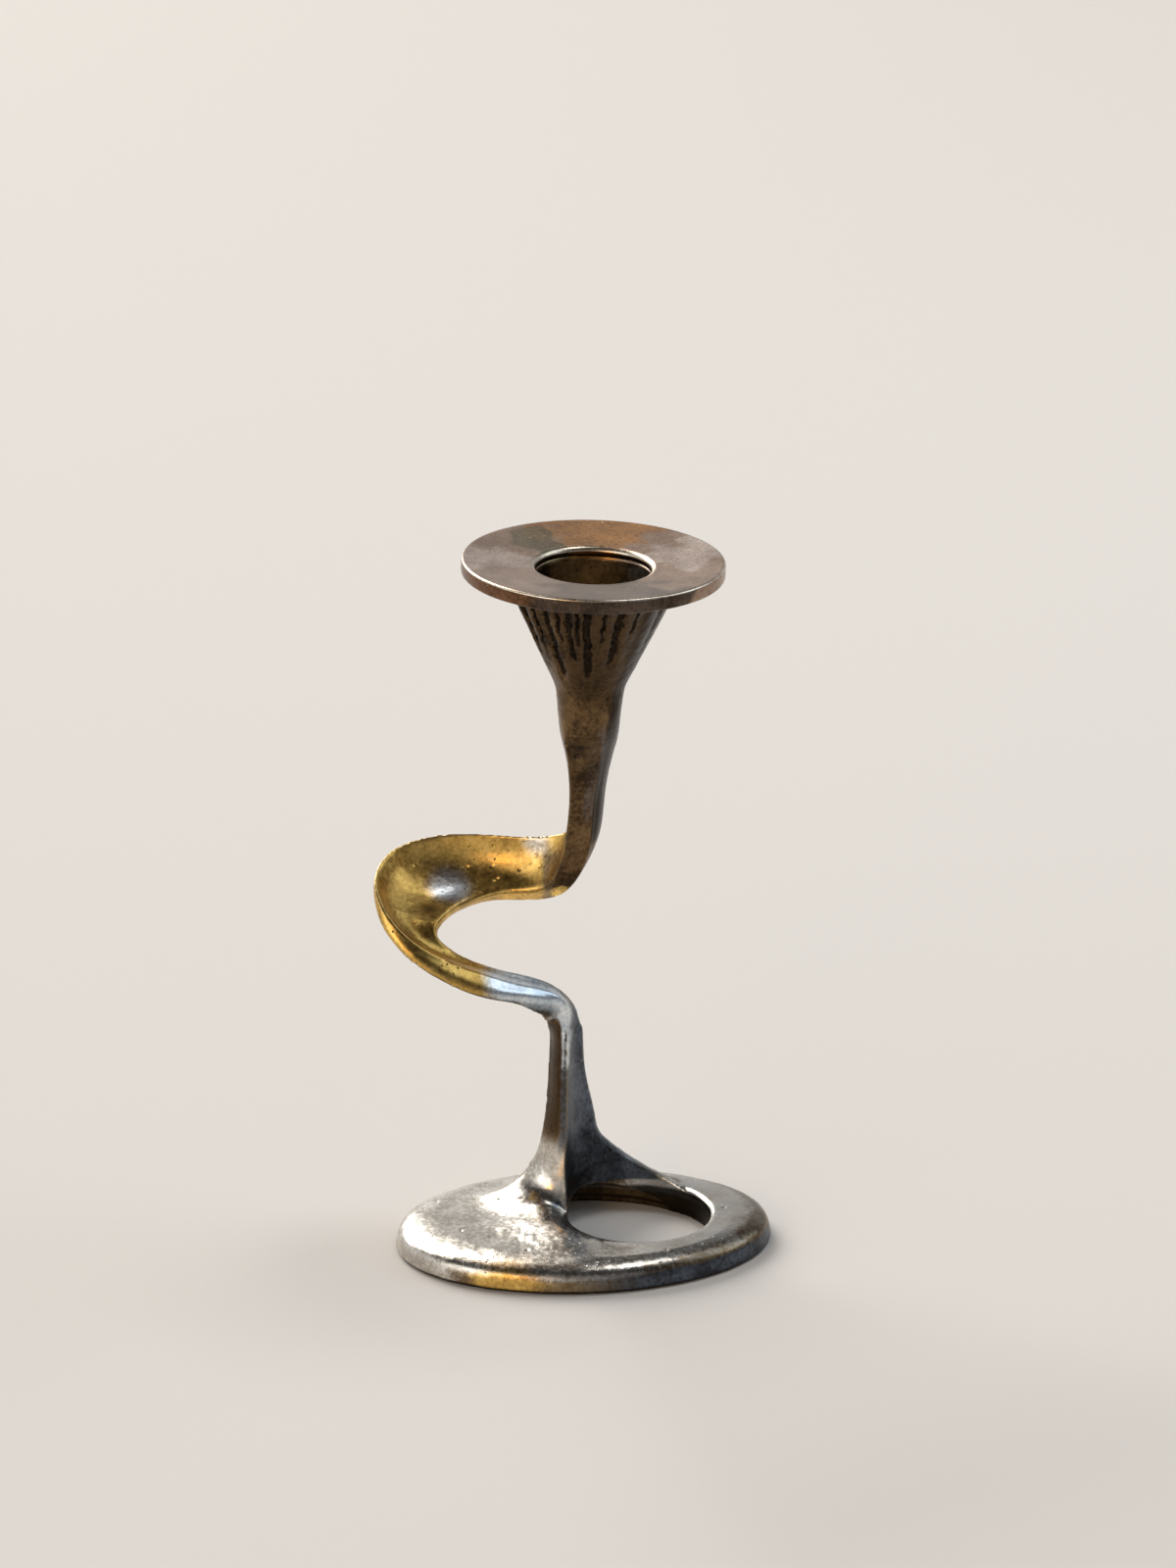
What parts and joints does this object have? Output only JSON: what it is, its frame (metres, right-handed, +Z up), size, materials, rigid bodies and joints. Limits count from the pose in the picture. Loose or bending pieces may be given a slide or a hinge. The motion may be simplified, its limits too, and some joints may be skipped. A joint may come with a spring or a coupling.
{
  "type": "candle holder",
  "caption": "Cast bronze candle holder: an oval foot with a round hole, a stem that spirals out of it as one twisted ribbon, a fluted cup and a dished round drip pan.",
  "frame": {"origin": "on the table, under the middle of the whole holder", "axes": "+Z up, +X to the holder's right, towards the hole in the foot, +Y away from the front"},
  "size_m": [0.0774, 0.0517, 0.1411],
  "materials": {
    "bronze": "cast, filed and handled bronze with an aged brown patina",
    "cup_bronze": "rough cast bronze, dark in the flutes",
    "pan_bronze": "turned bronze with fine concentric marks and an aged brown patina",
    "braze": "bright brazing brass, filed flush",
    "pin_steel": "drawn steel wire"
  },
  "bodies": {
    "root": {"foot": "bronze", "stem_pin": "pin_steel", "stem_braze": "braze", "spiral_loop": "bronze", "elbow_pin": "pin_steel", "elbow_braze": "braze", "upper_stem": "bronze", "neck_pin": "pin_steel", "neck_braze": "braze", "candle_cup": "cup_bronze", "pan_braze": "braze", "drip_pan": "pan_bronze"}
  },
  "joints": []
}
